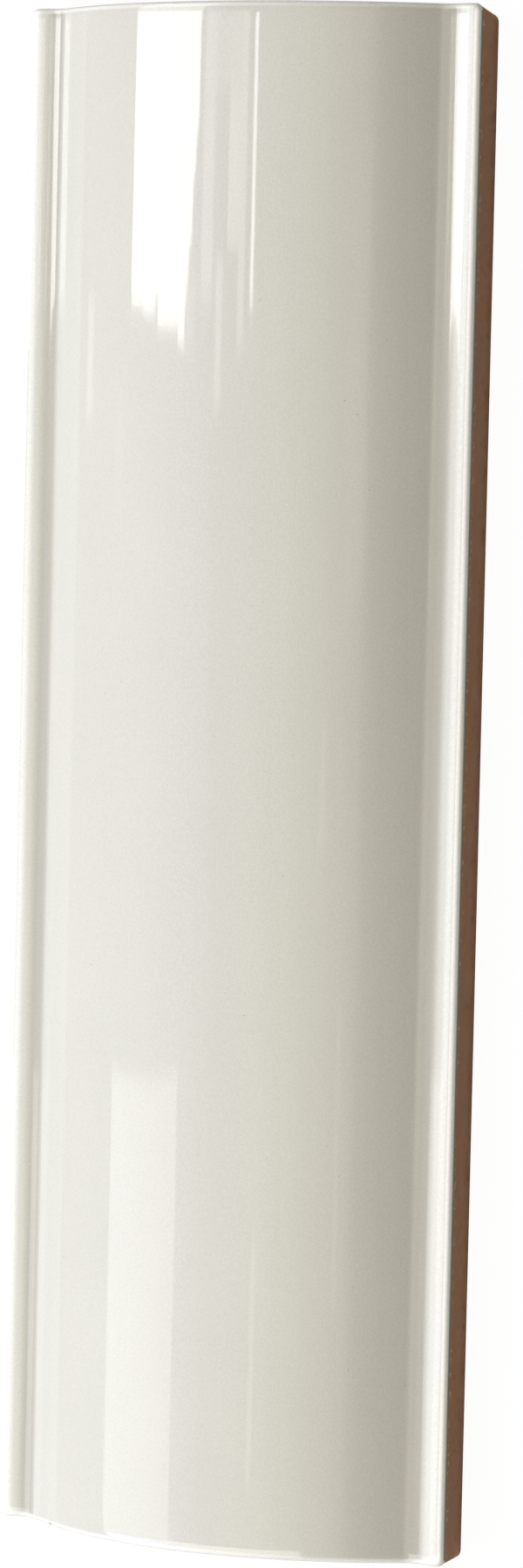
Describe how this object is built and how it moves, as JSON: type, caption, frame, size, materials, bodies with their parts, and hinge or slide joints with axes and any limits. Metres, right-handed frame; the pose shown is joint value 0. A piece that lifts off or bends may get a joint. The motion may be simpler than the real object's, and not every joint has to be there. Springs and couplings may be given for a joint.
{
  "type": "convex wall tile",
  "caption": "Long glazed wall tile with a convex arched front between two low edge beads, bare clay sides and a hollowed, keyed back.",
  "frame": {"origin": "centre of the bedding plane at the tile's back", "axes": "+Z out of the wall through the convex front, +Y along the tile's length, +X across its width"},
  "size_m": [0.1, 0.3, 0.0255],
  "materials": {
    "glazed_clay": "glossy off-white glaze on the front, bare matt red-brown clay on the sides and back"
  },
  "bodies": {
    "root": {"tile": "glazed_clay"}
  },
  "joints": []
}
